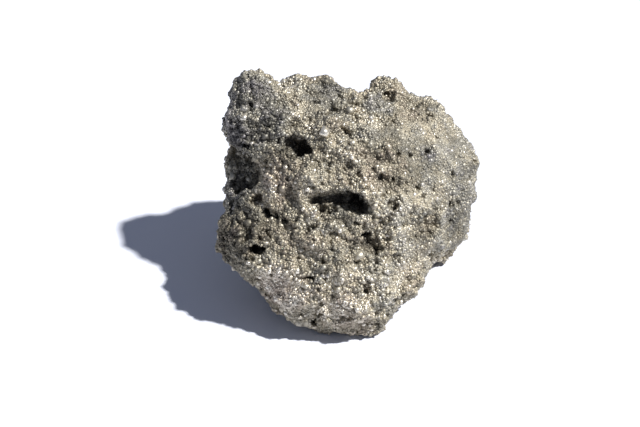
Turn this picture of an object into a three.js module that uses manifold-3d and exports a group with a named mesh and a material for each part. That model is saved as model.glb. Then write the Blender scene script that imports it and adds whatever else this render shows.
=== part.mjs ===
// A hand specimen of massive granular pyrite: one lump of intergrown crystals, knobbly and pitted with vugs,
// lying on the flat break where it came away from the vein.
// Millimetres and degrees, +Z up. X runs across the front and Y runs away from it.
// The origin is on the surface that the lump lies on, under the middle of its box.
import * as THREE from "three";
import { mergeVertices } from "three/addons/utils/BufferGeometryUtils.js";
import { ImprovedNoise } from "three/addons/math/ImprovedNoise.js";
import { MeshSurfaceSampler } from "three/addons/math/MeshSurfaceSampler.js";
import Module from "manifold-3d";

// The lobes that grew together, each an ellipsoid: its middle, its half sizes and the angle it leans back
const LOBES = [
  { name: "core", middle: [0, -1, 24], half: [25, 17, 24.5], lean: 40 },
  { name: "back", middle: [2, 12, 19], half: [23, 15, 17], lean: 0 },
  { name: "back_left", middle: [-12, 18, 19], half: [10, 9.5, 9], lean: 0 },
  { name: "back_right", middle: [14, 20, 13], half: [10, 9, 8.5], lean: 0 },
  { name: "back_foot", middle: [-2, 20, 8], half: [8, 8, 7], lean: 0 },
  { name: "nape", middle: [4, 21.5, 29], half: [9, 7, 7], lean: 0 },
  { name: "keel", middle: [3, 1, 8], half: [17, 17, 10], lean: 0 },
  { name: "face", middle: [-3, -14, 15.5], half: [18, 10.5, 19], lean: 30 },
  { name: "front_foot", middle: [2, -16.5, 9.7], half: [10.5, 11, 10.5], lean: 0 },
  { name: "toe", middle: [-8, -18.4, 10.8], half: [8.5, 9, 8], lean: 0 },
  { name: "left_shin", middle: [-14.5, -14.5, 13.5], half: [10, 9, 9], lean: 0 },
  { name: "right_shin", middle: [8.5, -11, 10], half: [10.5, 11, 9], lean: 0 },
  { name: "left_hip", middle: [-20, -9, 18], half: [10.5, 12, 9.5], lean: 0 },
  { name: "left_cheek", middle: [-20, 3, 26.5], half: [9, 10, 8.5], lean: 0 },
  { name: "horn", middle: [-22.3, 9.6, 44.6], half: [5.6, 7, 5.8], lean: 0 },
  { name: "ear", middle: [-24, 5.5, 38.5], half: [5.6, 7, 7], lean: 0 },
  { name: "left_brow", middle: [-15, 5, 36], half: [10, 10, 9.5], lean: 0 },
  { name: "crown", middle: [-9.5, 13, 37], half: [11.5, 11, 9.2], lean: 0 },
  { name: "knob", middle: [8.2, 13.6, 43], half: [3.7, 4, 4.4], lean: 0 },
  { name: "right_brow", middle: [13.5, 9, 32.5], half: [13, 12, 10.4], lean: 0 },
  { name: "right_cheek", middle: [18, 5, 24.5], half: [13.5, 15, 13.5], lean: 0 },
  { name: "right_jowl", middle: [18.5, 1, 16.5], half: [11, 13, 9], lean: 0 },
  { name: "right_heel", middle: [19.5, 8, 8], half: [11, 10, 10], lean: 0 },
  { name: "brow_lump", middle: [7.1, -7.4, 35], half: [5, 4.5, 4.5], lean: 0 },
  { name: "ledge", middle: [-3.5, -12.1, 33.7], half: [8.5, 2.8, 2.6], lean: 0 },
  { name: "chin_lump", middle: [-1.8, -22.4, 17], half: [3.8, 3.6, 3.4], lean: 0 },
  { name: "foot_lump", middle: [1.8, -25.6, 8.8], half: [4, 3.4, 3.5], lean: 0 },
  { name: "shin_lump", middle: [-13.1, -21.9, 16.5], half: [3.8, 3.5, 3.3], lean: 0 },
  { name: "hip_lump", middle: [-21.8, -19.3, 17.7], half: [2.6, 2.5, 2.5], lean: 0 },
];
const WELD = 1.1; // width over which neighbouring lobes run into each other

// Rays from the heart of the lump find its skin
const HEART = new THREE.Vector3(0, 3, 22);
const REACH = 50; // longest ray
const RAY_STEP = 0.5; // step of the search along a ray, coming in from its end
const RAY_HALVINGS = 8; // halvings of the last step
const MASS_DETAIL = 15; // subdivisions of the icosahedron that becomes the mass

// Knobs with creases between them: how far a knob's top stands above a crease, and how wide a knob is
const KNOBS = [
  { height: 2.1, width: 9 },
  { height: 1, width: 4.5 },
  { height: 0.4, width: 2.3 },
];
const CREASE_DEPTH = 0.52; // share of a knob's height by which a crease lies under the skin

// The vugs, each a hollow with its half width, half height and half depth. Seen from the heart, bearing is
// the turn from the front (0) to the right (90), and rise is the angle above the level. Roll turns the
// mouth, and sink is how far the hollow's middle lies under the skin, so that its lips overhang.
const VUGS = [
  { name: "slot_right", bearing: 4, rise: 26, half: [3.4, 2.2, 6], roll: -22, sink: 1 },
  { name: "slot_middle", bearing: -5, rise: 26, half: [2.4, 1.6, 4.5], roll: -5, sink: 0.6 },
  { name: "slot_left", bearing: -13, rise: 27, half: [3, 1.7, 5], roll: 6, sink: 0.8 },
  { name: "slot_end", bearing: -22, rise: 25, half: [2.4, 1.9, 4.4], roll: 0, sink: 0.8 },
  { name: "slot_floor", bearing: -16, rise: 22, half: [2.8, 1.5, 1.8], roll: 0, sink: 0 },
  { name: "slot_tail", bearing: 11, rise: 22, half: [1.3, 1.5, 2.4], roll: -30, sink: 0.4 },
  { name: "lip_groove", bearing: -10, rise: 35, half: [2.8, 0.8, 1.2], roll: 4, sink: 0 },
  { name: "side_hole", bearing: 28, rise: 22, half: [1.8, 1.3, 3], roll: -20, sink: 0.5 },
  { name: "lower_hole", bearing: 12, rise: 2, half: [2.5, 2.7, 4], roll: 20, sink: 0.3 },
  { name: "lower_dish", bearing: 15, rise: 6, half: [3.8, 3.8, 2], roll: 0, sink: 0 },
  { name: "lower_nook", bearing: 20, rise: 12, half: [1.3, 1.6, 2], roll: -30, sink: 0.2 },
  { name: "chin_pit_left", bearing: -15, rise: 9, half: [0.9, 0.8, 1.1], roll: 0, sink: 0 },
  { name: "chin_pit_right", bearing: -8, rise: 9, half: [1, 0.8, 1.2], roll: 30, sink: 0 },
  { name: "brow_crescent", bearing: 0, rise: 49, half: [2.2, 0.8, 1.5], roll: -45, sink: 0 },
  { name: "brow_dimple", bearing: 15, rise: 54, half: [1.5, 0.9, 1.3], roll: 0, sink: 0 },
  { name: "brow_crack", bearing: 18, rise: 39, half: [2, 0.7, 1.4], roll: -20, sink: 0 },
  { name: "brow_pit", bearing: 27, rise: 37, half: [1.6, 1.4, 2], roll: 0, sink: 0.2 },
  { name: "brow_side", bearing: 46, rise: 43, half: [0.9, 1.4, 1.3], roll: 0, sink: 0 },
  { name: "cheek_pit_high", bearing: 64, rise: 35, half: [1.1, 1.4, 1.3], roll: 0, sink: 0 },
  { name: "cheek_pit_low", bearing: 72, rise: 22, half: [1.2, 1, 1.2], roll: 15, sink: 0 },
  { name: "cheek_dimple", bearing: 53, rise: 27, half: [1, 0.8, 1.1], roll: 0, sink: 0 },
  { name: "cluster_left", bearing: 46, rise: 9, half: [1.7, 1.4, 2.4], roll: 0, sink: 0.3 },
  { name: "cluster_high", bearing: 53, rise: 11, half: [1.8, 1.3, 2.4], roll: 30, sink: 0.3 },
  { name: "cluster_low", bearing: 49, rise: 4, half: [1.6, 1.6, 2.4], roll: -20, sink: 0.3 },
  { name: "knob_crevice", bearing: 123, rise: 63, half: [1.6, 2.2, 2.2], roll: 10, sink: 0 },
  { name: "knob_pit", bearing: 99, rise: 73, half: [1.1, 0.9, 1.4], roll: 0, sink: 0 },
  { name: "knob_groove", bearing: 66, rise: 71, half: [0.8, 2, 1.4], roll: 0, sink: 0 },
  { name: "upper_hole", bearing: -56, rise: 51, half: [3.6, 2.1, 4.6], roll: 10, sink: 0.7 },
  { name: "upper_side", bearing: -68, rise: 42, half: [2, 0.9, 1.2], roll: 5, sink: 0 },
  { name: "upper_dimple", bearing: -72, rise: 58, half: [1.7, 1.7, 1.2], roll: 0, sink: 0 },
  { name: "upper_low", bearing: -42, rise: 42, half: [1, 1.4, 1.3], roll: 0, sink: 0 },
  { name: "left_recess", bearing: -74, rise: 20, half: [4.2, 6, 3.8], roll: 0, sink: 0.2 },
  { name: "left_pocket", bearing: -56, rise: 15, half: [1.7, 1.6, 2.4], roll: 0, sink: 0.4 },
  { name: "left_crease", bearing: -74, rise: 33, half: [2.8, 0.9, 1.3], roll: 8, sink: 0 },
  { name: "left_notch", bearing: -89, rise: 21, half: [5, 2, 3.4], roll: 0, sink: 0 },
  { name: "neck_crease", bearing: -68, rise: 5, half: [2.8, 1.3, 2], roll: 0, sink: 0 },
  { name: "ear_crease", bearing: -92, rise: 43, half: [1.9, 1.8, 2], roll: 0, sink: 0 },
  { name: "ear_under", bearing: -83, rise: 38, half: [2.2, 1.4, 1.2], roll: 0, sink: 0 },
  { name: "horn_valley", bearing: -87, rise: 53, half: [1, 2.8, 1.3], roll: 15, sink: 0 },
  { name: "horn_notch", bearing: -122, rise: 51, half: [1.2, 4.5, 1.8], roll: 0, sink: 0 },
  { name: "hip_hole", bearing: -42, rise: -2, half: [2.3, 1.3, 3], roll: -10, sink: 0.6 },
  { name: "hip_low", bearing: -38, rise: -5, half: [1.8, 1.4, 2], roll: 0, sink: 0.2 },
  { name: "hip_notch", bearing: -48, rise: 5, half: [1.6, 2.7, 2.2], roll: 0, sink: 0 },
  { name: "hip_crease", bearing: -48, rise: 12, half: [0.9, 2.4, 1.4], roll: 0, sink: 0 },
  { name: "foot_pit", bearing: 7, rise: -14, half: [1.2, 1.5, 2], roll: 0, sink: 0.4 },
  { name: "foot_groove", bearing: -3, rise: -13, half: [0.8, 1.8, 1.3], roll: 0, sink: 0 },
  { name: "foot_dimple", bearing: -1, rise: -6, half: [1.4, 1, 1.2], roll: 0, sink: 0 },
  { name: "edge_pit", bearing: 31, rise: -18, half: [1.2, 1, 1.4], roll: -40, sink: 0 },
  { name: "toe_pit", bearing: -15, rise: -30, half: [1.5, 1.3, 1.6], roll: 0, sink: 0 },
  { name: "shin_pit", bearing: -25, rise: -18, half: [1.2, 0.8, 1.2], roll: 20, sink: 0 },
  { name: "saddle", bearing: 165, rise: 60, half: [2.6, 4, 2.4], roll: 0, sink: 0 },
  { name: "nape_pit", bearing: 178, rise: 36, half: [1.6, 1.2, 1.8], roll: 0, sink: 0 },
  { name: "back_hole", bearing: 152, rise: 14, half: [3, 2.2, 3.5], roll: 15, sink: 0.6 },
  { name: "back_slot", bearing: -128, rise: 12, half: [2.8, 1.6, 2.8], roll: -20, sink: 0 },
  { name: "back_pit", bearing: -165, rise: -12, half: [2.2, 1.7, 2.4], roll: 0, sink: 0 },
];
const WIDE_VUG = 2.9; // half width from which a hollow's walls are subdivided
const VUG_ROUGHNESS = 0.45; // how far a hollow's wall strays, as a share of its size
const VUG_GRAIN = 0.9; // width of those strays on a hollow one unit across

// The coarser cubes that stand out of the granular skin
const CUBES = 50;
const CUBE_EDGE = [1.6, 3]; // least and greatest
const CUBE_SPACING = 2.6; // least distance between two of them
const CUBE_SINKS = 0.28; // share of the edge by which a cube's middle lies under the skin
const SEED = 7;

const FLOOR_BLOCK = { side: 120, depth: 40 }; // what the flat break cuts away

const noise = new ImprovedNoise();

function seededRandom(seed) {
  let state = seed >>> 0;
  return () => {
    state = (state + 0x6d2b79f5) >>> 0;
    let mixed = Math.imul(state ^ (state >>> 15), state | 1);
    mixed ^= mixed + Math.imul(mixed ^ (mixed >>> 7), mixed | 61);
    return ((mixed ^ (mixed >>> 14)) >>> 0) / 2 ** 32;
  };
}

// How far a point is outside a lobe, zero on the lobe's own skin
function lobeGap(lobe, point) {
  const [x, y, z] = point.clone().sub(new THREE.Vector3(...lobe.middle)).toArray();
  const lean = THREE.MathUtils.degToRad(lobe.lean);
  const across = x / lobe.half[0];
  const through = (y * Math.cos(lean) - z * Math.sin(lean)) / lobe.half[1];
  const along = (y * Math.sin(lean) + z * Math.cos(lean)) / lobe.half[2];
  return (Math.hypot(across, through, along) - 1) * Math.min(...lobe.half);
}

function weldedGap(point) {
  const overlap = LOBES.reduce((sum, lobe) => sum + Math.exp(-lobeGap(lobe, point) / WELD), 0);
  return -WELD * Math.log(overlap);
}

// The outermost point of the welded lobes on a ray from the heart
function skinPoint(direction) {
  const along = (distance) => HEART.clone().addScaledVector(direction, distance);
  let outside = REACH;
  while (outside > RAY_STEP && weldedGap(along(outside - RAY_STEP)) > 0) outside -= RAY_STEP;
  let inside = outside - RAY_STEP;
  for (let i = 0; i < RAY_HALVINGS; i++) {
    const middle = (inside + outside) / 2;
    if (weldedGap(along(middle)) > 0) outside = middle;
    else inside = middle;
  }
  return along(inside);
}

// The same point once the knobs and creases have grown on the lobes
function knobbyPoint(direction) {
  const skin = skinPoint(direction);
  const growth = KNOBS.reduce((sum, { height, width }) => {
    const wave = noise.noise(...skin.clone().divideScalar(width).toArray());
    return sum + height * (2 * Math.abs(wave) - CREASE_DEPTH);
  }, 0);
  return skin.addScaledVector(direction, growth);
}

// Moves every vertex of a geometry to where the function sends it
function reshape(geometry, place) {
  const position = geometry.getAttribute("position");
  const vertex = new THREE.Vector3();
  for (let i = 0; i < position.count; i++) {
    position.setXYZ(i, ...place(vertex.fromBufferAttribute(position, i)).toArray());
  }
  return geometry;
}

function massGeometry() {
  const ball = new THREE.IcosahedronGeometry(1, MASS_DETAIL);
  return reshape(ball, (vertex) => knobbyPoint(vertex.clone().normalize()));
}

function outwardDirection(bearing, rise) {
  const [turn, climb] = [bearing, rise].map(THREE.MathUtils.degToRad);
  const level = Math.cos(climb);
  return new THREE.Vector3(level * Math.sin(turn), -level * Math.cos(turn), Math.sin(climb));
}

function vugGeometry({ bearing, rise, half, roll, sink }, number) {
  const hollow = reshape(new THREE.IcosahedronGeometry(1, half[0] < WIDE_VUG ? 0 : 1), (vertex) => {
    const { x, y, z } = vertex.clone().divideScalar(VUG_GRAIN).addScalar(number);
    return vertex.clone().multiplyScalar(1 + VUG_ROUGHNESS * noise.noise(x, y, z));
  });
  const outward = outwardDirection(bearing, rise);
  const sideways = new THREE.Vector3(0, 0, 1).cross(outward).normalize();
  const upward = outward.clone().cross(sideways);
  return hollow
    .scale(...half)
    .rotateZ(THREE.MathUtils.degToRad(roll))
    .applyMatrix4(new THREE.Matrix4().makeBasis(sideways, upward, outward))
    .translate(...knobbyPoint(outward).addScaledVector(outward, -sink).toArray());
}

// Cubes scattered over the mass, no two too close, each turned its own way
function cubeGeometries(mass) {
  const random = seededRandom(SEED);
  const sampler = new MeshSurfaceSampler(mass).setRandomGenerator(random).build();
  const spots = [];
  const cubes = [];
  while (cubes.length < CUBES) {
    const spot = new THREE.Vector3();
    const normal = new THREE.Vector3();
    sampler.sample(spot, normal);
    if (spots.some((other) => other.distanceTo(spot) < CUBE_SPACING)) continue;
    spots.push(spot);
    const edge = THREE.MathUtils.lerp(...CUBE_EDGE, random() ** 2);
    const turn = new THREE.Euler(...[0, 0, 0].map(() => random() * Math.PI));
    const cube = new THREE.BoxGeometry(edge, edge, edge);
    cube.applyQuaternion(new THREE.Quaternion().setFromEuler(turn));
    cube.translate(...spot.clone().addScaledVector(normal, -edge * CUBE_SINKS).toArray());
    cubes.push(cube);
  }
  return cubes;
}

const wasm = await Module();
wasm.setup();

function solidOf(geometry) {
  const bare = geometry.clone();
  bare.deleteAttribute("normal");
  bare.deleteAttribute("uv");
  const welded = mergeVertices(bare);
  return new wasm.Manifold(new wasm.Mesh({
    numProp: 3,
    vertProperties: welded.getAttribute("position").array,
    triVerts: Uint32Array.from(welded.index.array),
  }));
}

function geometryOf(solid) {
  const mesh = solid.getMesh();
  const geometry = new THREE.BufferGeometry();
  geometry.setAttribute("position", new THREE.BufferAttribute(mesh.vertProperties, 3));
  geometry.setIndex(new THREE.BufferAttribute(mesh.triVerts, 1));
  geometry.computeVertexNormals();
  return geometry;
}

// The largest piece of a solid, without loose crumbs and with any chink that a cube closes over filled
function wholeOf(solid) {
  return solid.decompose().reduce((most, piece) => (piece.volume() > most.volume() ? piece : most));
}

function nuggetGeometry() {
  const hollows = wasm.Manifold.union(VUGS.map(vugGeometry).map(solidOf));
  const pitted = solidOf(massGeometry()).subtract(hollows);
  const cubes = cubeGeometries(new THREE.Mesh(geometryOf(pitted))).map(solidOf);
  const studded = wasm.Manifold.union([pitted, ...cubes]);
  const floor = new THREE.BoxGeometry(FLOOR_BLOCK.side, FLOOR_BLOCK.side, FLOOR_BLOCK.depth);
  floor.translate(0, 0, -FLOOR_BLOCK.depth / 2);
  const geometry = geometryOf(wholeOf(studded.subtract(solidOf(floor))));
  geometry.computeBoundingBox();
  const middle = geometry.boundingBox.getCenter(new THREE.Vector3());
  return geometry.translate(-middle.x, -middle.y, 0);
}

const pyrite = new THREE.MeshStandardMaterial({ color: 0xa39b88, roughness: 0.35, metalness: 0.9 });
const nugget = new THREE.Mesh(nuggetGeometry(), pyrite);
nugget.name = "pyrite_nugget";

const specimen = new THREE.Group();
specimen.add(nugget);
export default specimen;
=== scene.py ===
"""Looks of a hand specimen of massive granular pyrite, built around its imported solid.

The groundmass is the solid's own surface, softened, knobbed, cracked and pored. A crust of small pyrite
crystals grows on it, as one joined mesh for each side of the lump, and stays inside the solid's box.
Lengths are in metres, and a name that ends in _mm is in millimetres. X runs across the front, Y runs away
from it, and Z is up.
"""

from __future__ import annotations

import logging
import math
from dataclasses import dataclass
from enum import Enum

import bpy
import numpy as np
from mathutils import Matrix, Vector, kdtree, noise


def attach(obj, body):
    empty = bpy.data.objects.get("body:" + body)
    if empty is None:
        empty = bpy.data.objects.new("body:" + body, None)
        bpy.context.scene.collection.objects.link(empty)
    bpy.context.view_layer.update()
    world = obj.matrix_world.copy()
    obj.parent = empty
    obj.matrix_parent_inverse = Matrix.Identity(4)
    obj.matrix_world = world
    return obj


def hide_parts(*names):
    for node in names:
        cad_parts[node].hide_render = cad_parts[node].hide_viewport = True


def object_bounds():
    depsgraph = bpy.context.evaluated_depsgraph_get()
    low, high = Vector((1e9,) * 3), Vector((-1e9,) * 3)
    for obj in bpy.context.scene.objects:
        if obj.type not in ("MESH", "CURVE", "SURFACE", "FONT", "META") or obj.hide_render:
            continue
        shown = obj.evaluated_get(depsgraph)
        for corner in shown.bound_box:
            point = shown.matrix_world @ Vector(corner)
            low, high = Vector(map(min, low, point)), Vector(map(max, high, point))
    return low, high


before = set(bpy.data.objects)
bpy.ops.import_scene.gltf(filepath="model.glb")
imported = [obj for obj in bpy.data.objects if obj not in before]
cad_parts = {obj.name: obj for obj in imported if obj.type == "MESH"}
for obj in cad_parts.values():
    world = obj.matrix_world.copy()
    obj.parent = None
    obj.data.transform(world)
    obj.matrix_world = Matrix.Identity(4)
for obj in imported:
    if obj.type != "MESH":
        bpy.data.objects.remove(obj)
CAD_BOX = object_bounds()

log = logging.getLogger("pyrite")

MM = 0.001
NODE = "pyrite_nugget"
BODY = "root"
WHITE = "#ffffff"
MIX_COLOUR = 2  # which of a Mix node's outputs is its colour

Point = tuple[float, float, float]  # a place or a direction
Ends = tuple[float, float]          # where something begins and is full, or its fine and coarse values


def linear(hex_colour: str) -> tuple[float, float, float, float]:
    """Turns an sRGB hex colour into the linear colour that shaders use.

    Args:
        hex_colour: Six hex digits, with or without a leading hash.

    Returns:
        Linear red, green and blue, and an alpha of one.
    """
    digits = hex_colour.lstrip("#")
    srgb = [int(digits[i:i + 2], 16) / 255 for i in (0, 2, 4)]
    # The standard's own curve: a straight foot, then a power
    red, green, blue = (c / 12.92 if c <= 0.04045 else ((c + 0.055) / 1.055) ** 2.4 for c in srgb)
    return red, green, blue, 1.0


def add_node(
    tree: bpy.types.NodeTree,
    kind: str,
    settings: dict[str, object] | None = None,
    stops: dict[float, str] | None = None,
    **inputs: object,
) -> bpy.types.Node:
    """Adds a shader node with its settings and links.

    Args:
        tree: The node tree.
        kind: The node's type name.
        settings: Properties of the node itself.
        stops: For a node with a colour ramp, a hex colour for each place on it, in rising order.
        inputs: A value or an output socket for each input, by its name with underscores for spaces.

    Returns:
        The new node.
    """
    node = tree.nodes.new(kind)
    for name, value in (settings or {}).items():
        setattr(node, name, value)
    if stops:
        elements = node.color_ramp.elements
        while len(elements) < len(stops):
            elements.new(0.5)  # moved to its own place below
        for element, (place, colour) in zip(elements, stops.items()):
            element.position = place
            element.color = linear(colour)
    for name, value in inputs.items():
        wanted = name.replace("_", " ")
        socket = next(s for s in node.inputs if s.name == wanted and s.enabled)
        if isinstance(value, bpy.types.NodeSocket):
            tree.links.new(value, socket)
        else:
            socket.default_value = value
    return node


def perlin(points: np.ndarray, width_mm: float, shift: float = 0.0) -> np.ndarray:
    """Smooth noise, about -1 to 1, at each point.

    Args:
        points: Places on the lump, one to a row.
        width_mm: Width of a swell.
        shift: Moves the noise along, so that two fields of one width differ.

    Returns:
        One value for each point.
    """
    scaled = points / (width_mm * MM) + shift
    return np.array([noise.noise(Vector(p)) for p in scaled])


def smoothstep(low: float, high: float, value: np.ndarray) -> np.ndarray:
    """Rises smoothly from 0 at low to 1 at high."""
    t = np.clip((value - low) / (high - low), 0.0, 1.0)
    return t * t * (3 - 2 * t)


def between(ends: Ends, share: np.ndarray | float) -> np.ndarray | float:
    """The value that lies at each share of the way from the first end to the second."""
    return ends[0] + (ends[1] - ends[0]) * share


def mesh_rows(items: bpy.types.bpy_prop_collection, name: str, kind: type, width: int) -> np.ndarray:
    """Reads one property of all vertices, edges, faces or corners of a mesh.

    Args:
        items: The vertices, edges, faces or corners.
        name: The property.
        kind: The type of its numbers.
        width: How many numbers each item has.

    Returns:
        The property, one item to a row.
    """
    flat = np.empty(len(items) * width, kind)
    items.foreach_get(name, flat)
    return flat.reshape(-1, width)


def mesh_from_arrays(
    name: str, points: np.ndarray, corners: np.ndarray, sides: np.ndarray
) -> bpy.types.Mesh:
    """Makes a mesh.

    Args:
        name: The mesh's name.
        points: Vertices, one to a row.
        corners: Vertex numbers of all faces, one face after the other.
        sides: Number of corners of each face.

    Returns:
        The mesh.
    """
    mesh = bpy.data.meshes.new(name)
    mesh.vertices.add(len(points))
    mesh.vertices.foreach_set("co", points.astype(np.float32).ravel())
    mesh.loops.add(len(corners))
    mesh.loops.foreach_set("vertex_index", corners.astype(np.int32))
    mesh.polygons.add(len(sides))
    mesh.polygons.foreach_set("loop_start", (np.cumsum(sides) - sides).astype(np.int32))
    mesh.update(calc_edges=True)
    mesh.validate()
    return mesh


def add_attribute(mesh: bpy.types.Mesh, name: str, values: np.ndarray) -> None:
    """Stores one number for each vertex of a mesh, for its material to read."""
    attribute = mesh.attributes.new(name, "FLOAT", "POINT")
    attribute.data.foreach_set("value", values.astype(np.float32))


def link(name: str, mesh: bpy.types.Mesh) -> bpy.types.Object:
    """Puts a mesh in the scene.

    Args:
        name: Name of the new object.
        mesh: Its mesh.

    Returns:
        The object.
    """
    piece = bpy.data.objects.new(name, mesh)
    bpy.context.scene.collection.objects.link(piece)
    return piece


def stand_in(piece: bpy.types.Object, material: bpy.types.Material) -> None:
    """Dresses a piece of the lump and lets it stand for the solid.

    Args:
        piece: The piece.
        material: Its finish.
    """
    piece.data.materials.append(material)
    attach(piece, BODY)
    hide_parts(NODE)


class Trait(str, Enum):
    """What varies over the lump, each from 0 to 1 and stored on every vertex for the materials."""

    PALE = "pale"        # from dull, dark metal to fresh, bright metal, lowered where a zone paints shade and raised where one paints light
    TARNISH = "tarnish"  # from blue-grey through brass to brown
    COARSE = "coarse"    # from fine, even grain to coarse, rough grain
    GRIME = "grime"      # from open skin to the bottom of a hollow, where painted shade is darkest


@dataclass(frozen=True)
class PyriteMetal:
    """The metal of pyrite: a pale brass, greyer or browner where a film of tarnish covers it."""

    blue_grey: str = "#cbc5c2"
    silver: str = "#d3cec0"
    brass: str = "#d5cbb4"
    brown: str = "#cfbfae"
    silver_at: float = 0.25  # tarnish at which the film is silver
    brass_at: float = 0.55   # tarnish at which it is brass
    fresh: str = "#e8e0d0"   # a clean face
    fresh_from: float = 0.6  # tone from which a face begins to be clean
    dull: str = "#7e7e7d"    # what dulls the metal where it is least fresh, and darkens it where a zone paints shade
    grime: str = "#4a4640"   # painted shade in the hollows
    metallic: float = 0.8    # a clean metal has 1, and the film and the fine pores take some of it away

    def colour(self, tree: bpy.types.NodeTree) -> bpy.types.NodeSocket:
        """Makes the colour from what each vertex carries, dulled by its tone and darkened by painted shade in
        hollows.

        Args:
            tree: The material's node tree.

        Returns:
            The colour's socket.
        """
        pale, tarnish, grime = (
            add_node(tree, "ShaderNodeAttribute", {"attribute_name": trait.value}).outputs["Fac"]
            for trait in (Trait.PALE, Trait.TARNISH, Trait.GRIME)
        )
        films = {0.0: self.blue_grey, self.silver_at: self.silver, self.brass_at: self.brass, 1.0: self.brown}
        filmed = add_node(tree, "ShaderNodeValToRGB", stops=films, Fac=tarnish)
        tone = add_node(tree, "ShaderNodeValToRGB", stops={0.0: self.dull, 1.0: WHITE}, Fac=pale)
        clean = add_node(tree, "ShaderNodeMapRange", Value=pale, From_Min=self.fresh_from, From_Max=1.0)
        metal = add_node(tree, "ShaderNodeMix", {"data_type": "RGBA"},
                         Factor=clean.outputs["Result"], A=filmed.outputs["Color"], B=linear(self.fresh))
        toned = add_node(tree, "ShaderNodeMix", {"data_type": "RGBA", "blend_type": "MULTIPLY"},
                         Factor=1.0, A=metal.outputs[MIX_COLOUR], B=tone.outputs["Color"])
        # Painted shade, darkest at the bottom of each hollow
        shade_painted = add_node(tree, "ShaderNodeMix", {"data_type": "RGBA"},
                          Factor=grime, A=toned.outputs[MIX_COLOUR], B=linear(self.grime))
        return shade_painted.outputs[MIX_COLOUR]


@dataclass(frozen=True)
class CrystalPyrite:
    """Crystal faces of pyrite, as they grew."""

    # Flat, faintly ribbed metal: a clean face flashes as it catches the light, and a dull one is satin
    metal: PyriteMetal = PyriteMetal()
    roughness_fresh: float = 0.32
    roughness_dull: float = 0.58
    striation_mm: float = 0.3  # drawn coarser than real striations, which are too fine to show
    striation_height_mm: float = 0.02
    striation_detail: float = 2.0
    striation_strength: float = 0.6

    def material(self) -> bpy.types.Material:
        """Makes the material: colour and gloss by crystal, painted shade in hollows, and faintly ribbed
        faces.

        Returns:
            The material.
        """
        made = bpy.data.materials.new("crystal_pyrite")
        made.use_nodes = True
        tree = made.node_tree
        shader = tree.nodes["Principled BSDF"]
        pale = add_node(tree, "ShaderNodeAttribute", {"attribute_name": Trait.PALE.value}).outputs["Fac"]
        gloss = add_node(tree, "ShaderNodeMapRange", Value=pale,
                         From_Min=self.metal.fresh_from, From_Max=1.0,
                         To_Min=self.roughness_dull, To_Max=self.roughness_fresh)
        place = add_node(tree, "ShaderNodeTexCoord").outputs["Object"]
        ribs = add_node(tree, "ShaderNodeTexNoise", Vector=place,
                        Scale=1 / (self.striation_mm * MM), Detail=self.striation_detail)
        bump = add_node(tree, "ShaderNodeBump", Height=ribs.outputs["Fac"], Strength=self.striation_strength,
                        Distance=self.striation_height_mm * MM)
        shader.inputs["Metallic"].default_value = self.metal.metallic
        tree.links.new(self.metal.colour(tree), shader.inputs["Base Color"])
        tree.links.new(gloss.outputs["Result"], shader.inputs["Roughness"])
        tree.links.new(bump.outputs["Normal"], shader.inputs["Normal"])
        return made


@dataclass(frozen=True)
class MassivePyrite:
    """Fine-grained pyrite between the crystals, as it broke."""

    # The same metal in grains too small to see one by one: dull, mottled and finely pitted
    metal: PyriteMetal = PyriteMetal()
    shade: str = "#aaa69e"         # what darkens the hollows between its grains
    shade_at: Ends = (0.35, 0.65)  # noise at which the shade is full, and at which it is gone
    roughness: float = 0.65
    grain_mm: float = 0.35
    grain_height: float = 0.25     # how far a grain stands out, as a share of its width
    grain_detail: float = 3.0
    grain_strength: float = 0.8

    def material(self) -> bpy.types.Material:
        """Makes the material: mottled, dull metal with a finely pitted surface.

        Returns:
            The material.
        """
        made = bpy.data.materials.new("massive_pyrite")
        made.use_nodes = True
        tree = made.node_tree
        shader = tree.nodes["Principled BSDF"]
        place = add_node(tree, "ShaderNodeTexCoord").outputs["Object"]
        grains = add_node(tree, "ShaderNodeTexNoise", Vector=place,
                          Scale=1 / (self.grain_mm * MM), Detail=self.grain_detail)
        mottle = add_node(tree, "ShaderNodeValToRGB", stops=dict(zip(self.shade_at, (self.shade, WHITE))),
                          Fac=grains.outputs["Fac"])
        colour = add_node(tree, "ShaderNodeMix", {"data_type": "RGBA", "blend_type": "MULTIPLY"},
                          Factor=1.0, A=self.metal.colour(tree), B=mottle.outputs["Color"])
        bump = add_node(tree, "ShaderNodeBump", Height=grains.outputs["Fac"], Strength=self.grain_strength,
                        Distance=self.grain_mm * MM * self.grain_height)
        shader.inputs["Metallic"].default_value = self.metal.metallic
        shader.inputs["Roughness"].default_value = self.roughness
        tree.links.new(colour.outputs[MIX_COLOUR], shader.inputs["Base Color"])
        tree.links.new(bump.outputs["Normal"], shader.inputs["Normal"])
        return made


@dataclass(frozen=True)
class PaleBoard:
    """Uncoated white board that the specimen lies on."""

    # Pressed paper fibre: plain, pale and matt, with hardly any shine
    colour: str = "#dadce4"
    roughness: float = 0.9
    shine: float = 0.1

    def material(self) -> bpy.types.Material:
        """Makes the material.

        Returns:
            The material.
        """
        made = bpy.data.materials.new("pale_board")
        made.use_nodes = True
        shader = made.node_tree.nodes["Principled BSDF"]
        shader.inputs["Base Color"].default_value = linear(self.colour)
        shader.inputs["Roughness"].default_value = self.roughness
        shader.inputs["Specular IOR Level"].default_value = self.shine
        return made


@dataclass(frozen=True)
class Zone:
    """A part of the lump whose pyrite differs from the rest, fading out towards its edge.

    Each trait is how much is added to what the rest of the lump has.
    """

    middle_mm: Point
    radius_mm: float
    pale: float = 0.0
    tarnish: float = 0.0
    coarse: float = 0.0
    fades_from: float = 0.4  # share of the radius at which it begins to fade

    def share(self, points: np.ndarray) -> np.ndarray:
        """How much of the zone each point has: 1 in its middle, 0 past its edge."""
        away = np.linalg.norm(points - np.array(self.middle_mm) * MM, axis=1) / (self.radius_mm * MM)
        return 1 - smoothstep(self.fades_from, 1.0, away)


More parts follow.
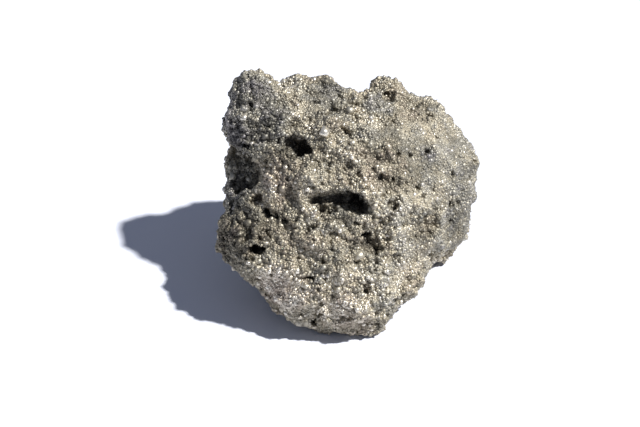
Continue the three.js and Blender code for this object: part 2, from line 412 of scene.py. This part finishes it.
@dataclass
class Ore:
    """How the pyrite varies over the lump: in patches everywhere, and from one zone to the next; some zones
    carry painted shade and one carries painted light.
    """

    usual: float = 0.5         # a trait where no patch or zone changes it
    wide_mm: float = 9.0       # width of the wider patches
    wide_strength: float = 0.27
    narrow_mm: float = 3.0     # width of the narrower ones
    narrow_strength: float = 0.24
    trait_shift: float = 11.3  # moves the noise along from one trait to the next
    zones: tuple[Zone, ...] = (
        Zone((24, -4, 27), 21, pale=-0.08, tarnish=-0.16, coarse=-0.5),  # the smooth right cheek
        Zone((16, 0, 40), 13, pale=-0.13, coarse=-0.4),                  # the right brow
        Zone((16, -17, 19), 9, pale=0.15, coarse=-0.3),                  # below the right cheek
        # Painted shade: the horn, the left hip and the left recess are darkened, on the side turned from the
        # key light
        Zone((-24, 2, 45), 13, pale=-0.33, tarnish=-0.42, coarse=0.1),   # the horn
        Zone((-25, -14, 21), 12, pale=-0.32, tarnish=0.1, coarse=0.2),   # the left hip
        Zone((-26, -2, 27), 10, pale=-0.22, tarnish=-0.15),              # the left recess
        Zone((-16, -12, 34), 8, tarnish=0.2),                            # the left cheek
        # Painted shade: the rim of the upper hole and the floor of the slot are darkened where shadow falls
        Zone((-13, -5, 39), 4, pale=-0.35),                              # the rim of the upper hole
        Zone((-2, -15, 29), 6, pale=-0.4),                               # the floor of the slot
        Zone((18.5, -14, 24.5), 5, pale=-0.3, coarse=0.4),               # the cluster of pits
        Zone((-25, -2, 37), 7, pale=-0.3, tarnish=-0.05),                # under the ear
        Zone((-6, 6, 45), 9, pale=-0.17, tarnish=-0.15, coarse=-0.15),   # the crown
        Zone((0, -10, 37), 8, pale=0.1),                                 # the brow
        Zone((-1, -27, 12), 13, pale=0.22, tarnish=0.05, coarse=0.1),    # the foot
        # Painted light: the left shin is paler and warmer, standing in for light on a side turned from the
        # key light
        Zone((-15, -24, 14), 9, pale=0.38, tarnish=0.42),                # the left shin
        Zone((7, 6, 45), 6, pale=-0.2, tarnish=-0.35, coarse=-0.1),      # the knob
        Zone((-3, 14, 44), 6, pale=-0.2, tarnish=-0.35),                 # the saddle beside it
        Zone((12, 26, 20), 14, pale=-0.05, tarnish=-0.2, coarse=-0.4),   # a finer patch at the back
        Zone((-14, 24, 22), 11, pale=-0.1, tarnish=0.2, coarse=0.25),    # a coarser one beside it
    )

    def field(self, trait: Trait, points: np.ndarray) -> np.ndarray:
        """One trait at each point.

        Args:
            trait: Pale, tarnish or coarse.
            points: The points, one to a row.

        Returns:
            A value from 0 to 1 for each point.
        """
        shift = self.trait_shift * (1 + list(Trait).index(trait))
        patches = self.wide_strength * perlin(points, self.wide_mm, shift)
        patches += self.narrow_strength * perlin(points, self.narrow_mm, shift)
        zones = sum(getattr(zone, trait.value) * zone.share(points) for zone in self.zones)
        return np.clip(self.usual + patches + zones, 0, 1)


@dataclass(frozen=True)
class Swell:
    """One size of relief: how wide its forms are, how far they stand out, and which noise they follow."""

    width_mm: float
    height_mm: float
    shift: float = 0.0

    def wave(self, points: np.ndarray) -> np.ndarray:
        """The noise that the relief follows, about -1 to 1, at each point."""
        return perlin(points, self.width_mm, self.shift)


@dataclass(frozen=True)
class Pore:
    """A hole in the skin, at a place of its own, that stands out among the smaller ones."""

    place_mm: Point
    radius_mm: float


@dataclass
class Groundmass:
    """The lump's skin under its crystals.

    Its cells are the squares that the surface is remade in, and each cell can carry a crystal.
    """

    cell_mm: float = 0.43
    softening: tuple[int, int] = (40, 3)    # passes that round off facets, in fine and in coarse grain
    inset_mm: float = 0.42                  # room left for the crystals under the solid's surface
    floor_gap_mm: float = 0.21              # the same above the floor
    relief: Ends = (0.12, 1.75)             # share of the relief in fine and in coarse grain
    knobs: tuple[Swell, ...] = (Swell(3.2, 0.7), Swell(1.5, 0.35), Swell(0.8, 0.1))
    crease_depth: float = 0.5               # share of a knob by which a crease lies under the skin
    pits: Swell = Swell(2.0, -1.3, 31.7)
    pit_share: Ends = (0.36, 0.6)           # noise at which a pit begins and is full
    cracks: Swell = Swell(9.0, -0.6, 51.3)
    crack_half_width: float = 0.045         # noise on either side of zero that a crack takes up
    crack_patches: Swell = Swell(13.0, 0.0, 71.9)  # where cracks are
    crack_patch_share: Ends = (0.0, 0.3)    # noise at which they begin and are full
    large_pores: tuple[Pore, ...] = (
        Pore((16.8, -11.4, 30.1), 0.7),     # the right cheek, from its inner edge outwards
        Pore((23.5, -5.1, 31.8), 0.8),
        Pore((25.1, -7.1, 25.2), 0.8),
        Pore((27.8, -2.4, 29.0), 0.7),
        Pore((17.3, -14.2, 24.8), 1.3),     # the cluster of pits under it
        Pore((19.6, -13.1, 25.6), 1.4),
        Pore((18.2, -15.1, 23.4), 0.8),
        Pore((20.4, -13.1, 14.0), 0.8),     # below them
        Pore((-6.4, -14.4, 28.6), 1.5),     # the lower lip of the slot
        Pore((-4.2, -14.9, 28.7), 1.4),
        Pore((9.8, -14.3, 29.1), 1.1),      # right of the slot
        Pore((3.6, -17.0, 23.4), 1.3),      # the crater under its right end
        Pore((-14.5, -16.1, 26.8), 0.9),    # left of it
        Pore((3.8, -24.7, 13.9), 1.3),      # the foot
        Pore((-4.0, -26.7, 13.2), 0.7),
        Pore((-7.8, -24.6, 4.5), 0.9),
        Pore((-23.4, -21.8, 15.5), 0.9),    # the left hip
    )
    pores: int = 600                        # how many smaller ones there are
    pore_radius_mm: Ends = (0.35, 0.9)
    pore_rarity: int = 3                    # power by which wider ones are rarer
    pore_depth: float = 0.9                 # depth of a pore, as a share of its width
    pore_strays: tuple[Swell, ...] = (      # how its rim strays from a circle along each axis
        Swell(1.1, 0.5, 13.1), Swell(1.1, 0.5, 17.9), Swell(1.1, 0.5, 23.5),
    )
    hollow_passes: int = 260                # passes of the smoothing that hollows are measured against
    hollow_mm: Ends = (0.5, 2.4)            # depths at which the painted shade begins and is full
    seed: int = 11
    finish: MassivePyrite = MassivePyrite()

    def build(self, ore: Ore) -> bpy.types.Object:
        """Makes the skin from the solid's surface.

        Args:
            ore: How the pyrite varies.

        Returns:
            The skin as an object, with every trait stored on its vertices.
        """
        mesh = self._remade_surface()
        points = mesh_rows(mesh.vertices, "co", np.float32, 3).astype(float)
        edges = mesh_rows(mesh.edges, "vertices", np.int32, 2)
        fields = {trait: ore.field(trait, points) for trait in (Trait.PALE, Trait.TARNISH, Trait.COARSE)}
        fine, rough = (self._relaxed(points, edges, passes) for passes in self.softening)
        points = fine + (rough - fine) * fields[Trait.COARSE][:, None]
        self._place(mesh, points)
        normals = self._normals(mesh)
        height = self._relief(points, fields[Trait.COARSE])
        points = points + normals * ((height - self.inset_mm) * MM)[:, None]
        points = self._pored(points, normals)
        points[:, 2] = np.maximum(points[:, 2], self.floor_gap_mm * MM)
        # Painted shade: darker the deeper a vertex lies under the skin around it
        fields[Trait.GRIME] = smoothstep(*self.hollow_mm, self._depth(mesh, points, edges))
        self._place(mesh, points)
        for trait, values in fields.items():
            add_attribute(mesh, trait.value, values)
        return link("groundmass", mesh)

    def dress(self, piece: bpy.types.Object) -> None:
        """Gives the skin its finish, its body and the node that it stands for."""
        stand_in(piece, self.finish.material())

    def _remade_surface(self) -> bpy.types.Mesh:
        """Copies the solid's surface and remakes it in even squares.

        Returns:
            The new mesh, with no material.
        """
        copy = link("surface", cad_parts[NODE].data.copy())
        remake = copy.modifiers.new("cells", "REMESH")
        remake.mode = "VOXEL"
        remake.voxel_size = self.cell_mm * MM
        evaluated = copy.evaluated_get(bpy.context.evaluated_depsgraph_get())
        mesh = bpy.data.meshes.new_from_object(evaluated)
        mesh.name = "groundmass"
        mesh.materials.clear()
        bpy.data.objects.remove(copy)
        return mesh

    @staticmethod
    def _normals(mesh: bpy.types.Mesh) -> np.ndarray:
        """Outward direction at each vertex of a mesh."""
        return mesh_rows(mesh.vertex_normals, "vector", np.float32, 3).astype(float)

    @staticmethod
    def _place(mesh: bpy.types.Mesh, points: np.ndarray) -> None:
        """Moves the vertices of a mesh."""
        mesh.vertices.foreach_set("co", points.astype(np.float32).ravel())
        mesh.update()

    @staticmethod
    def _relaxed(points: np.ndarray, edges: np.ndarray, passes: int) -> np.ndarray:
        """Smooths a surface by drawing each vertex halfway to the mean of its neighbours.

        Args:
            points: The vertices.
            edges: The edges that join them.
            passes: How often.

        Returns:
            The moved vertices.
        """
        ends = np.concatenate([edges[:, 0], edges[:, 1]])
        others = np.concatenate([edges[:, 1], edges[:, 0]])
        count = np.bincount(ends, minlength=len(points))
        for _ in range(passes):
            total = np.stack([np.bincount(ends, axis, len(points)) for axis in points[others].T], 1)
            points = (points + total / count[:, None]) / 2
        return points

    def _relief(self, points: np.ndarray, coarse: np.ndarray) -> np.ndarray:
        """How far knobs stand out of the skin, and creases, pits and cracks go into it.

        Args:
            points: The vertices.
            coarse: How coarse the grain is at each.

        Returns:
            A height in millimetres for each vertex.
        """
        height = np.zeros(len(points))
        for knob in self.knobs:
            height += knob.height_mm * (2 * np.abs(knob.wave(points)) - self.crease_depth)
        height += self.pits.height_mm * smoothstep(*self.pit_share, self.pits.wave(points))
        crack = 1 - smoothstep(0, self.crack_half_width, np.abs(self.cracks.wave(points)))
        crack *= smoothstep(*self.crack_patch_share, self.crack_patches.wave(points))
        return between(self.relief, coarse) * (height + self.cracks.height_mm * crack)

    def _pored(self, points: np.ndarray, normals: np.ndarray) -> np.ndarray:
        """Sinks pores with crooked rims into the skin.

        Args:
            points: The vertices.
            normals: Their outward directions.

        Returns:
            The moved vertices.
        """
        strays = [stray.height_mm * MM * stray.wave(points) for stray in self.pore_strays]
        warped = points + np.stack(strays, 1)
        tree = kdtree.KDTree(len(points))
        for i, point in enumerate(warped):
            tree.insert(point, i)
        tree.balance()
        sink = np.zeros(len(points))
        for middle, radius in self._holes(tree, warped):
            for _, i, distance in tree.find_range(middle, radius):
                sink[i] = max(sink[i], 2 * radius * self.pore_depth * (1 - (distance / radius) ** 2))
        return points - normals * sink[:, None]

    def _holes(self, tree: kdtree.KDTree, points: np.ndarray) -> list[tuple[Vector, float]]:
        """Chooses the pores: the large ones at their places, and the smaller ones at random.

        Args:
            tree: The vertices, to find the nearest one to a place.
            points: The same vertices, one to a row.

        Returns:
            The middle and the radius of each pore.
        """
        rng = np.random.default_rng(self.seed)
        holes = [(tree.find(Vector(pore.place_mm) * MM)[0], pore.radius_mm * MM) for pore in self.large_pores]
        for centre in rng.choice(len(points), self.pores, replace=False):
            radius_mm = between(self.pore_radius_mm, rng.random() ** self.pore_rarity)
            holes.append((points[centre], radius_mm * MM))
        return holes

    def _depth(self, mesh: bpy.types.Mesh, points: np.ndarray, edges: np.ndarray) -> np.ndarray:
        """How deep each vertex lies under the level of the skin around it.

        Args:
            mesh: The skin's mesh, whose vertices are moved.
            points: The vertices.
            edges: The edges that join them.

        Returns:
            A depth in millimetres for each vertex, below zero on knobs.
        """
        level = self._relaxed(points, edges, self.hollow_passes)
        self._place(mesh, level)
        return np.einsum("ij,ij->i", level - points, self._normals(mesh)) / MM


class Habit(Enum):
    """Crystal shapes of pyrite, each about one unit wide."""

    CUBE = "cube"
    OCTAHEDRON = "octahedron"
    PYRITOHEDRON = "pyritohedron"

    def shape(self) -> tuple[np.ndarray, list[list[int]]]:
        """Makes one crystal around the origin.

        Returns:
            Its vertices, and the vertex numbers of each face, which points outwards.
        """
        makers = {
            Habit.CUBE: self._cube_faces,
            Habit.OCTAHEDRON: self._octahedron_faces,
            Habit.PYRITOHEDRON: self._pyritohedron_faces,
        }
        points: list[tuple[float, ...]] = []
        faces = []
        for outline in makers[self]():
            outline = self._outward(np.array(outline, float))
            keys = [tuple(np.round(p, 6)) for p in outline]
            points.extend(key for key in keys if key not in points)
            faces.append([points.index(key) for key in keys])
        return np.array(points), faces

    @staticmethod
    def _outward(outline: np.ndarray) -> np.ndarray:
        """Turns a face round if it points inwards."""
        normal = np.cross(outline[1] - outline[0], outline[2] - outline[1])
        return outline if normal @ outline.mean(0) > 0 else outline[::-1]

    @staticmethod
    def _cube_faces() -> list[np.ndarray]:
        """Six squares."""
        square = np.array([(1, 1, 1), (1, -1, 1), (1, -1, -1), (1, 1, -1)]) / 2
        return [side * np.roll(square, axis, 1) for axis in range(3) for side in (1, -1)]

    @staticmethod
    def _octahedron_faces() -> list[np.ndarray]:
        """Eight triangles, one for each way that three axes can point.

        Returns:
            The corners of each.
        """
        reach = 0.75
        signs = [(x, y, z) for x in (1, -1) for y in (1, -1) for z in (1, -1)]
        return [np.diag(sign) * reach for sign in signs]

    @staticmethod
    def _pyritohedron_faces() -> list[np.ndarray]:
        """Twelve pentagons: two on each of the six roofs that stand on a cube's sides.

        Returns:
            The corners of each.
        """
        ridge, shoulder = 1.5, 0.75
        faces = []
        for axis in range(3):
            for up in (1, -1):
                for side in (1, -1):
                    face = np.array([
                        (0, up * ridge, shoulder), (side, up, 1), (side * ridge, up * shoulder, 0),
                        (side, up, -1), (0, up * ridge, -shoulder),
                    ])
                    faces.append(np.roll(face, axis, 1) / (2 * ridge))
        return faces


class Side(Enum):
    """Parts of the crust, by the direction that they face."""

    RIGHT = (1, 0, 0)
    LEFT = (-1, 0, 0)
    BACK = (0, 1, 0)
    FRONT = (0, -1, 0)
    CROWN = (0, 0, 1)
    BASE = (0, 0, -1)


@dataclass
class Cells:
    """The cells of the skin, with one row or one value for each."""

    middles: np.ndarray
    normals: np.ndarray              # outward directions
    traits: dict[Trait, np.ndarray]

    @classmethod
    def of_skin(cls, mesh: bpy.types.Mesh) -> Cells:
        """Reads the cells of a skin, and the traits at one corner of each.

        Args:
            mesh: The skin's mesh.

        Returns:
            The cells.
        """
        middles, normals = (
            mesh_rows(mesh.polygons, name, np.float32, 3).astype(float) for name in ("center", "normal")
        )
        starts = mesh_rows(mesh.polygons, "loop_start", np.int32, 1)[:, 0]
        corners = mesh_rows(mesh.loops, "vertex_index", np.int32, 1)[:, 0][starts]
        traits = {}
        for trait in Trait:
            at_vertex = mesh_rows(mesh.attributes[trait.value].data, "value", np.float32, 1)[:, 0]
            traits[trait] = at_vertex[corners].astype(float)
        return cls(middles, normals, traits)

    def nearest(self, place_mm: Point) -> int:
        """Number of the cell that lies nearest to a place."""
        return int(np.argmin(np.linalg.norm(self.middles - np.array(place_mm) * MM, axis=1)))


@dataclass
class Crystals:
    """The crystals of all cells, with one row or one value for each."""

    grown: np.ndarray                # whether there is one at all
    sides: np.ndarray                # number of the side that it is on
    habits: np.ndarray               # number of its shape
    places: np.ndarray               # its middle
    turns: np.ndarray                # its rotation matrix
    scales: np.ndarray               # its three widths
    traits: dict[Trait, np.ndarray]


@dataclass
class Batch:
    """Meshes of crystals of one habit, one after the other."""

    points: np.ndarray
    corners: np.ndarray              # vertex numbers of all faces
    sides: np.ndarray                # number of corners of each face
    traits: dict[Trait, np.ndarray]  # one value for each vertex


@dataclass(frozen=True)
class FreshCube:
    """A large, clean cube that shows as a bright spot in the crust."""

    place_mm: Point
    width_mm: float


@dataclass
class CrystalCrust:
    """The crystals that cover the groundmass, in one joined mesh for each side of the lump."""

    width_mm: Ends = (0.36, 0.49)        # a crystal's width, in fine and in coarse grain
    spread: float = 0.38                 # how much crystals of one place differ in width
    growth: Ends = (0.75, 1.0)           # share of cells with a crystal, in fine and in coarse grain
    cover_mm: float = 0.5                # crystals wider than this grow in fewer cells
    bare_below: float = 0.7              # share of the crust missing underneath, where the lump broke off
    faces_down: Ends = (0.2, 0.9)        # how much of a face's direction is down, there
    large_share: float = 0.04            # share of crystals that are fresh and outgrew their neighbours
    large_growth: float = 1.45
    large_fresh: float = 0.35            # how much brighter they are
    flatness: float = 0.7                # how much a crystal's three widths differ
    wander_mm: float = 0.14              # how far it grows from the middle of its cell
    stands_out: Ends = (-0.25, -0.1)     # share of its width by which its middle clears the skin
    tilt_deg: Ends = (12, 70)            # how far it leans, in fine and in coarse grain
    octahedra: float = 0.3               # share of crystals that are octahedra
    pyritohedra: float = 0.3             # share of the large crystals that are pyritohedra
    tone_spread: Ends = (0.05, 0.17)     # how much tones differ, in fine and in coarse grain
    hue_spread: float = 0.08             # how much they differ in tarnish
    fresh_cubes: tuple[FreshCube, ...] = (
        FreshCube((-5.6, -5.3, 42.3), 1.7),    # on the crown
        FreshCube((4.8, 0.2, 43.2), 1.0),      # in front of the knob
        FreshCube((-2.3, -19.3, 25.8), 1.0),   # under the slot
        FreshCube((-8.2, -16.9, 28.5), 0.9),   # at the slot's left end
        FreshCube((7.2, -13.9, 33.4), 0.9),    # over the slot
        FreshCube((-22.0, -3.5, 38.6), 0.9),   # under the ear
        FreshCube((-22.9, -21.8, 18.6), 0.9),  # on the left hip
    )
    fresh_facing: Point = (0.31, -0.54, 0.78)  # direction of their top faces
    seed: int = 5
    finish: CrystalPyrite = CrystalPyrite()

    def build(self, skin: bpy.types.Object) -> list[bpy.types.Object]:
        """Makes the crystals of every side.

        Args:
            skin: The groundmass that they grow on.

        Returns:
            One object for each side.
        """
        crystals = self._crystals(Cells.of_skin(skin.data), np.random.default_rng(self.seed))
        pieces = []
        for number, side in enumerate(Side):
            here = crystals.grown & (crystals.sides == number)
            batches = []
            for shape_number, habit in enumerate(Habit):
                chosen = np.flatnonzero(here & (crystals.habits == shape_number))
                batches.append(self._batch(habit, chosen, crystals))
            pieces.append(self._joined(f"crystals_{side.name.lower()}", batches))
        return pieces

    def dress(self, pieces: list[bpy.types.Object]) -> None:
        """Gives the crystals their finish, their body and the node that they stand for.

        Args:
            pieces: The objects of all sides.
        """
        material = self.finish.material()
        for piece in pieces:
            stand_in(piece, material)

    def _crystals(self, cells: Cells, rng: np.random.Generator) -> Crystals:
        """Grows a crystal in each cell.

        Args:
            cells: The skin's cells.
            rng: The random numbers.

        Returns:
            The crystals.
        """
        coarse = cells.traits[Trait.COARSE]
        count = len(coarse)
        widths = between(self.width_mm, coarse) * MM * np.exp(self.spread * rng.standard_normal(count))
        grown = rng.random(count) < self._growth_shares(widths, cells)
        large = rng.random(count) < self.large_share
        widths = np.where(large, widths * self.large_growth, widths)
        traits = self._traits(cells, large, rng)
        tilts = between(self.tilt_deg, coarse)
        facing = cells.normals.copy()

        fresh = [cells.nearest(cube.place_mm) for cube in self.fresh_cubes]
        widths[fresh] = [cube.width_mm * MM for cube in self.fresh_cubes]
        facing[fresh] = self.fresh_facing
        tilts[fresh] = 0
        grown[fresh] = True
        traits[Trait.PALE][fresh] = 1

        turns = self._turns(facing, tilts, rng)
        scales = widths[:, None] * (1 + self.flatness * (rng.random((count, 3)) - 0.5))
        places = self._places(cells, widths, rng)
        habits = self._habits(large, rng)
        habits[fresh] = list(Habit).index(Habit.CUBE)
        sides = np.argmax(cells.normals @ np.array([side.value for side in Side]).T, 1)
        return Crystals(grown, sides, habits, places, turns, scales, traits)

    def _growth_shares(self, widths: np.ndarray, cells: Cells) -> np.ndarray:
        """How likely a crystal is to have grown in each cell.

        Args:
            widths: How wide it would be.
            cells: The skin's cells.

        Returns:
            A share from 0 to 1 for each cell.
        """
        crowding = np.minimum((self.cover_mm * MM / widths) ** 2, 1)
        shares = between(self.growth, cells.traits[Trait.COARSE]) * crowding
        return shares * (1 - self.bare_below * smoothstep(*self.faces_down, -cells.normals[:, 2]))

    def _traits(self, cells: Cells, large: np.ndarray, rng: np.random.Generator) -> dict[Trait, np.ndarray]:
        """Lets each crystal differ a little from the skin that it grows on.

        Args:
            cells: The skin's cells.
            large: Which crystals outgrew their neighbours.
            rng: The random numbers.

        Returns:
            The crystals' traits, each from 0 to 1.
        """
        coarse = cells.traits[Trait.COARSE]
        tones = between(self.tone_spread, coarse) * rng.standard_normal(len(coarse))
        hues = self.hue_spread * rng.standard_normal(len(coarse))
        changes = {Trait.PALE: tones + self.large_fresh * large, Trait.TARNISH: hues}
        return {trait: np.clip(at + changes.get(trait, 0), 0, 1) for trait, at in cells.traits.items()}

    def _places(self, cells: Cells, widths: np.ndarray, rng: np.random.Generator) -> np.ndarray:
        """Places each crystal near the middle of its cell, sunk into the skin.

        Args:
            cells: The skin's cells.
            widths: How wide the crystals are.
            rng: The random numbers.

        Returns:
            The middle of each crystal.
        """
        wander = self.wander_mm * MM * rng.standard_normal(cells.normals.shape)
        wander -= cells.normals * np.einsum("ij,ij->i", wander, cells.normals)[:, None]
        rise = widths * between(self.stands_out, cells.traits[Trait.COARSE])
        return cells.middles + wander + cells.normals * rise[:, None]

    def _habits(self, large: np.ndarray, rng: np.random.Generator) -> np.ndarray:
        """Chooses each crystal's shape: pyritohedra are among the large ones alone.

        Args:
            large: Which crystals outgrew their neighbours.
            rng: The random numbers.

        Returns:
            The number of each one's habit.
        """
        cube, octahedron, pyritohedron = range(len(Habit))
        draw = rng.random(len(large))
        habits = np.where(draw > 1 - self.octahedra, octahedron, cube)
        return np.where(large & (draw < self.pyritohedra), pyritohedron, habits)

    @staticmethod
    def _turns(facing: np.ndarray, tilt_deg: np.ndarray, rng: np.random.Generator) -> np.ndarray:
        """Makes a rotation for each crystal: its third axis outwards, spun at random and leaning at random.

        Args:
            facing: The direction that each crystal faces where it doesn't lean.
            tilt_deg: How far each may lean.
            rng: The random numbers.

        Returns:
            One rotation matrix for each crystal.
        """
        # A crystal leans two ways at once, so each takes its share of the whole lean
        lean = np.radians(tilt_deg)[:, None] * rng.standard_normal(facing.shape) / math.sqrt(2)
        outward = facing + lean
        outward /= np.linalg.norm(outward, axis=1, keepdims=True)
        first = np.cross(outward, rng.standard_normal(facing.shape))
        first /= np.linalg.norm(first, axis=1, keepdims=True)
        return np.stack([first, np.cross(outward, first), outward], 2)

    @staticmethod
    def _batch(habit: Habit, chosen: np.ndarray, crystals: Crystals) -> Batch:
        """Makes the meshes of some crystals of one habit, kept inside the solid's box.

        Args:
            habit: Their shape.
            chosen: Their numbers.
            crystals: The crystals of all cells.

        Returns:
            The meshes.
        """
        shape, faces = habit.shape()
        sized = shape[None] * crystals.scales[chosen, None]
        points = np.einsum("nij,nkj->nki", crystals.turns[chosen], sized)
        points = (points + crystals.places[chosen, None]).reshape(-1, 3)
        points = np.clip(points, *np.array(CAD_BOX))
        one = np.concatenate([np.array(face) for face in faces])
        corners = (one[None] + len(shape) * np.arange(len(chosen))[:, None]).ravel()
        sides = np.tile([len(face) for face in faces], len(chosen))
        traits = {trait: np.repeat(at[chosen], len(shape)) for trait, at in crystals.traits.items()}
        return Batch(points, corners, sides, traits)

    @staticmethod
    def _joined(name: str, batches: list[Batch]) -> bpy.types.Object:
        """Joins batches of crystals into one object.

        Args:
            name: The object's name.
            batches: One for each habit.

        Returns:
            The object.
        """
        starts = np.cumsum([0] + [len(batch.points) for batch in batches])
        points = np.concatenate([batch.points for batch in batches])
        corners = np.concatenate([batch.corners + start for batch, start in zip(batches, starts)])
        sides = np.concatenate([batch.sides for batch in batches])
        mesh = mesh_from_arrays(name, points, corners, sides)
        for trait in Trait:
            add_attribute(mesh, trait.value, np.concatenate([batch.traits[trait] for batch in batches]))
        return link(name, mesh)


@dataclass
class Studio:
    """The pale floor, the light and the camera at the photograph's viewing angle."""

    frame_px: tuple[int, int] = (640, 427)
    lump_px: tuple[float, float] = (347.5, 202.5)  # where the aim point is in the picture
    lump_width_px: float = 263.0
    lump_width_mm: float = 62.0
    aim_mm: Point = (-0.2, 0.28, 20.3)
    elevation: float = 35.0               # degrees above the floor
    lens_mm: float = 70.0
    sensor_mm: float = 36.0
    near_clip: float = 0.01
    floor_size: float = 30.0              # far past the picture's edges
    key_from: Point = (0.68, -0.18, 1.0)  # direction to the key light
    key_strength: float = 5.7
    key_angle: float = 2.5                # degrees across, which softens the shadow's edge a little
    fill_strength: float = 0.255
    fill: str = "#d4e0ff"
    board: PaleBoard = PaleBoard()

    def build(self) -> None:
        """Makes the floor, the lights and the camera."""
        self._floor()
        self._lights()
        self._camera()

    def _floor(self) -> None:
        """Makes the floor under the lump."""
        half = self.floor_size / 2
        corners = np.array([(-half, -half, 0), (half, -half, 0), (half, half, 0), (-half, half, 0)])
        floor = link("floor", mesh_from_arrays("floor", corners, np.arange(4), np.array([4])))
        floor.data.materials.append(self.board.material())

    def _lights(self) -> None:
        """Makes the key light and an even fill from all round."""
        key = bpy.data.lights.new("key", "SUN")
        key.energy = self.key_strength
        key.angle = math.radians(self.key_angle)
        lamp = bpy.data.objects.new("key", key)
        lamp.rotation_euler = Vector(self.key_from).to_track_quat("Z", "Y").to_euler()
        bpy.context.scene.collection.objects.link(lamp)
        world = bpy.data.worlds.new("fill")
        world.use_nodes = True
        background = world.node_tree.nodes["Background"]
        background.inputs["Color"].default_value = linear(self.fill)
        background.inputs["Strength"].default_value = self.fill_strength
        bpy.context.scene.world = world
        bpy.context.scene.view_settings.view_transform = "Standard"

    def _camera(self) -> None:
        """Makes the camera so that the lump fills the picture as it does in the photograph."""
        scale = self.lump_width_mm / self.lump_width_px * MM
        width_px, height_px = self.frame_px
        climb = math.radians(self.elevation)
        right = Vector((1, 0, 0))
        up = Vector((0, math.sin(climb), math.cos(climb)))
        back = right.cross(up)
        distance = self.lens_mm / self.sensor_mm * width_px * scale
        target = Vector(self.aim_mm) * MM
        target += right * (width_px / 2 - self.lump_px[0]) * scale
        target += up * (self.lump_px[1] - height_px / 2) * scale
        camera = bpy.data.cameras.new("camera")
        camera.lens = self.lens_mm
        camera.sensor_width = self.sensor_mm
        camera.clip_start = self.near_clip
        holder = bpy.data.objects.new("camera", camera)
        turn = Matrix((right, up, back)).transposed()
        holder.matrix_world = Matrix.Translation(target + back * distance) @ turn.to_4x4()
        bpy.context.scene.collection.objects.link(holder)
        bpy.context.scene.camera = holder


def report(piece: bpy.types.Object) -> None:
    """Logs a piece's name and how many triangles it has."""
    triangles = sum(len(face.vertices) - 2 for face in piece.data.polygons)
    log.info("%s: %d triangles", piece.name, triangles)


def main() -> None:
    """Builds and dresses the lump, then its studio."""
    logging.basicConfig(level=logging.INFO, format="%(message)s")
    groundmass = Groundmass()
    skin = groundmass.build(Ore())
    groundmass.dress(skin)
    crust = CrystalCrust()
    crystals = crust.build(skin)
    crust.dress(crystals)
    for piece in [skin, *crystals]:
        report(piece)
    Studio().build()


if __name__ == "__main__":
    main()
